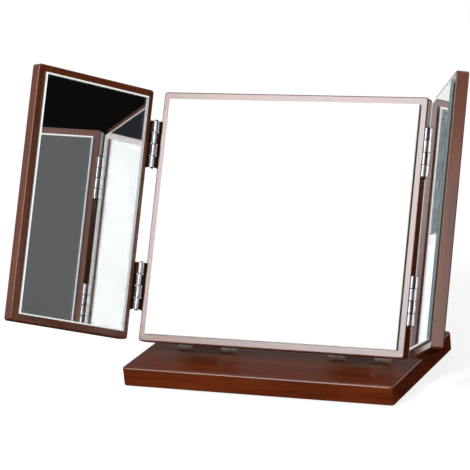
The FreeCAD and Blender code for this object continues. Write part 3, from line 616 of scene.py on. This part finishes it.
basePlaces, mirrorPlaces = tiltPlaces()
leftCentre, leftWing = foldPlaces(-1, leftPin, leftHub)
rightCentre, rightWing = foldPlaces(1, rightPin, rightHub)
screwGroups = [
    ("base_tilt_screws", tiltScrew, basePlaces, "base", nodesEnding("_base_screws")),
    ("mirror_tilt_screws", tiltScrew, mirrorPlaces, "centre_panel", nodesEnding("_mirror_screws")),
    ("centre_fold_screws", foldScrew, leftCentre + rightCentre, "centre_panel",
     nodesEnding("_centre_screws")),
    ("left_fold_screws", foldScrew, leftWing, "left_wing",
     ["left_lower_hinge_wing_screws", "left_upper_hinge_wing_screws"]),
    ("right_fold_screws", foldScrew, rightWing, "right_wing",
     ["right_lower_hinge_wing_screws", "right_upper_hinge_wing_screws"]),
]
for name, sizes, places, body, replaced in screwGroups:
    piece = screwSet(name, sizes, places)
    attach(piece, body)
    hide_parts(*replaced)
print("screws")


# studio: one large softbox to the left, a weaker one beside the camera, pale floor and backdrop, and cards
# of painted reflection that only reflections see; lengths in metres
studio = {
    "aim": (0, -0.02, 0.15),
    "key": {"azimuth": -26.8, "elevation": 38.0, "distance": 6.0, "size": (1.55, 2.5), "watts": 172},
    "fill": {"azimuth": 40, "elevation": 13, "distance": 4.0, "size": (2.5, 2.5), "watts": 48},
    "worldFill": 0.34,  # how much of the white backdrop lights the object; it is seen at 1
    "floorTone": "BCBCBC",
    "floorGlow": 0.75,  # seen, but lights nothing
    "floorSize": 1.5,  # from the middle to a side
    "floorDrop": 0.0002,  # below what stands on it
}
aim = Vector(studio["aim"])


def direction(azimuth, elevation):
    # azimuth 0 is in front of the mirror, 90 on its right
    turn, rise = math.radians(azimuth), math.radians(elevation)
    return Vector((math.sin(turn) * math.cos(rise), -math.cos(turn) * math.cos(rise), math.sin(rise)))


def softbox(name, setting):
    data = bpy.data.lights.new(name, "AREA")
    data.shape = "RECTANGLE"
    data.size, data.size_y = setting["size"]
    data.energy = setting["watts"]
    lamp = bpy.data.objects.new(name, data)
    lamp.location = aim + direction(setting["azimuth"], setting["elevation"]) * setting["distance"]
    lamp.rotation_euler = (aim - lamp.location).to_track_quat("-Z", "Y").to_euler()
    lamp.visible_transmission = False  # the mirrors show the plain backdrop instead
    scene.collection.objects.link(lamp)


def card(name, place, size, tone, seenBy, strength):
    # a painted reflection: it neither lights nor shades; seenBy is "gloss" for wood and metal, "glass" for
    # the mirrors
    material = bpy.data.materials.new("card_" + name)
    material.use_nodes = True
    tree = material.node_tree
    tree.nodes.clear()
    glow = addNode(tree, "ShaderNodeEmission", {}, {"Color": hexColour(tone), "Strength": strength})
    addNode(tree, "ShaderNodeOutputMaterial", {}, {"Surface": glow.outputs[0]})
    w, h = size[0] / 2, size[1] / 2
    mesh = bpy.data.meshes.new(name)
    mesh.from_pydata([place @ Vector(c) for c in ((-w, -h, 0), (w, -h, 0), (w, h, 0), (-w, h, 0))], [],
                     [(0, 1, 2, 3)])
    mesh.materials.append(material)
    piece = bpy.data.objects.new(name, mesh)
    scene.collection.objects.link(piece)
    piece.visible_camera = piece.visible_diffuse = piece.visible_shadow = False
    piece.visible_glossy = "gloss" in seenBy
    piece.visible_transmission = "glass" in seenBy


def facingAim(azimuth, elevation, distance):
    spot = aim + direction(azimuth, elevation) * distance
    return Matrix.Translation(spot) @ (aim - spot).to_track_quat("Z", "Y").to_matrix().to_4x4()


softbox("key_softbox", studio["key"])
softbox("fill_softbox", studio["fill"])
cards = {  # painted reflections: place, size, tone, who sees it, and strength, where 1 is as bright as the backdrop
    # painted reflection of a dark room in the left glass, and a shade paler beside it
    "painted_reflection_ceiling": (facingAim(106, 14, 3.0), (1.75, 2.2), "0E0D0B", "glass gloss", 1.0),
    "painted_reflection_dusk": (facingAim(83, 14, 3.2), (0.75, 2.2), "2B2D31", "glass gloss", 1.0),
    # painted reflection: the right glass as the left one shows it
    "painted_reflection_grey": (facingAim(-53.5, 27, 4.2), (1.45, 2.5), "555657", "glass", 1.0),
    # painted reflections: the strip in the right glass and the white streak beside it
    "painted_reflection_teal": (facingAim(-41.2, 37, 4.2), (0.58, 1.18), "33474F", "glass", 1.0),
    "painted_reflection_white": (facingAim(-40.8, 20.5, 4.2), (0.45, 1.2), "FFFFFF", "glass", 1.3),
    # a painted glint on arrises and barrels
    "painted_glint": (facingAim(-41.5, 33.5, 6.2), (0.72, 1.15), "FFFFFF", "gloss", 5.0),
    # painted reflections: dark and grey sheets that only gloss sees, so that the lacquer stays deep and the
    # nickel has contrast
    "painted_reflection_room": (facingAim(36, 12, 4.6), (6.5, 4.0), "14110F", "gloss", 1.0),
    "painted_reflection_left": (facingAim(-95, 12, 4.0), (5.0, 2.2), "B4B4B4", "gloss", 1.0),
    "painted_reflection_table": (shift(0.4, 0, -0.1 * mm), (2.2, 1.6), "0C0A09", "gloss", 1.0),
    "painted_reflection_back": (shift(-0.3, 0.6, 0.4) @ turnAbout("X", 90), (1.2, 0.45), "4A4540", "gloss", 1.0),
}
for name, setting in cards.items():
    card(name, *setting)

world = bpy.data.worlds.new("studio")
scene.world = world
world.use_nodes = True


def seenRays(tree, low, high):
    # high for what the camera sees, straight, in gloss or through glass, low for what lights the object
    path = addNode(tree, "ShaderNodeLightPath", {}, {}).outputs
    either = addNode(tree, "ShaderNodeMath", {"operation": "MAXIMUM"}, {
        0: path["Is Camera Ray"], 1: path["Is Glossy Ray"]})
    seen = addNode(tree, "ShaderNodeMath", {"operation": "MAXIMUM"}, {
        0: either.outputs[0], 1: path["Is Transmission Ray"]})
    return addNode(tree, "ShaderNodeMapRange", {}, {
        "Value": seen.outputs[0], "To Min": low, "To Max": high}).outputs["Result"]


worldTree = world.node_tree
worldTree.nodes.clear()
backdrop = addNode(worldTree, "ShaderNodeBackground", {}, {
    "Color": hexColour("FFFFFF"), "Strength": seenRays(worldTree, studio["worldFill"], 1.0)})
addNode(worldTree, "ShaderNodeOutputWorld", {}, {"Surface": backdrop.outputs[0]})

floorMaterial = bpy.data.materials.new("pale_floor")
floorMaterial.use_nodes = True
floorTree = floorMaterial.node_tree
floorTree.nodes.clear()
paint = addNode(floorTree, "ShaderNodeBsdfDiffuse", {}, {"Color": hexColour(studio["floorTone"])})
glow = addNode(floorTree, "ShaderNodeEmission", {}, {"Strength": seenRays(floorTree, 0, studio["floorGlow"])})
both = addNode(floorTree, "ShaderNodeAddShader", {}, {0: paint.outputs[0], 1: glow.outputs[0]})
addNode(floorTree, "ShaderNodeOutputMaterial", {}, {"Surface": both.outputs[0]})
floorMesh = bpy.data.meshes.new("floor")
reach = studio["floorSize"]
corners = ((-reach, -reach), (reach, -reach), (reach, reach), (-reach, reach))
floorMesh.from_pydata([(x, y, -studio["floorDrop"]) for x, y in corners], [], [(0, 1, 2, 3)])
floorMesh.materials.append(floorMaterial)
floor = bpy.data.objects.new("floor", floorMesh)
scene.collection.objects.link(floor)
print("studio")


# a long lens well to the right and above, tipped a little sideways
view = {
    "place": (1.0394, -2.1685, 0.8711),
    "yaw": 26.58, "pitch": -16.79, "roll": -5.55,
    "focalPixels": 2524.7, "imagePixels": 470,
    "sensor": 36,  # mm
    "farthest": 50,  # m
}
yaw, pitch, roll = (math.radians(view[key]) for key in ("yaw", "pitch", "roll"))
forward = Vector((-math.sin(yaw) * math.cos(pitch), math.cos(yaw) * math.cos(pitch), math.sin(pitch)))
level = Vector((math.cos(yaw), math.sin(yaw), 0))
upright = level.cross(forward)
across = level * math.cos(roll) + upright * math.sin(roll)
upwards = upright * math.cos(roll) - level * math.sin(roll)
lens = bpy.data.cameras.new("camera")
lens.sensor_width = view["sensor"]
lens.lens = view["focalPixels"] / view["imagePixels"] * view["sensor"]
lens.clip_end = view["farthest"]
camera = bpy.data.objects.new("camera", lens)
camera.matrix_world = shift(*view["place"]) @ Matrix((across, upwards, -forward)).transposed().to_4x4()
scene.collection.objects.link(camera)
scene.camera = camera
scene.view_settings.view_transform = "Standard"

bpy.context.view_layer.update()
print("camera and sizes")
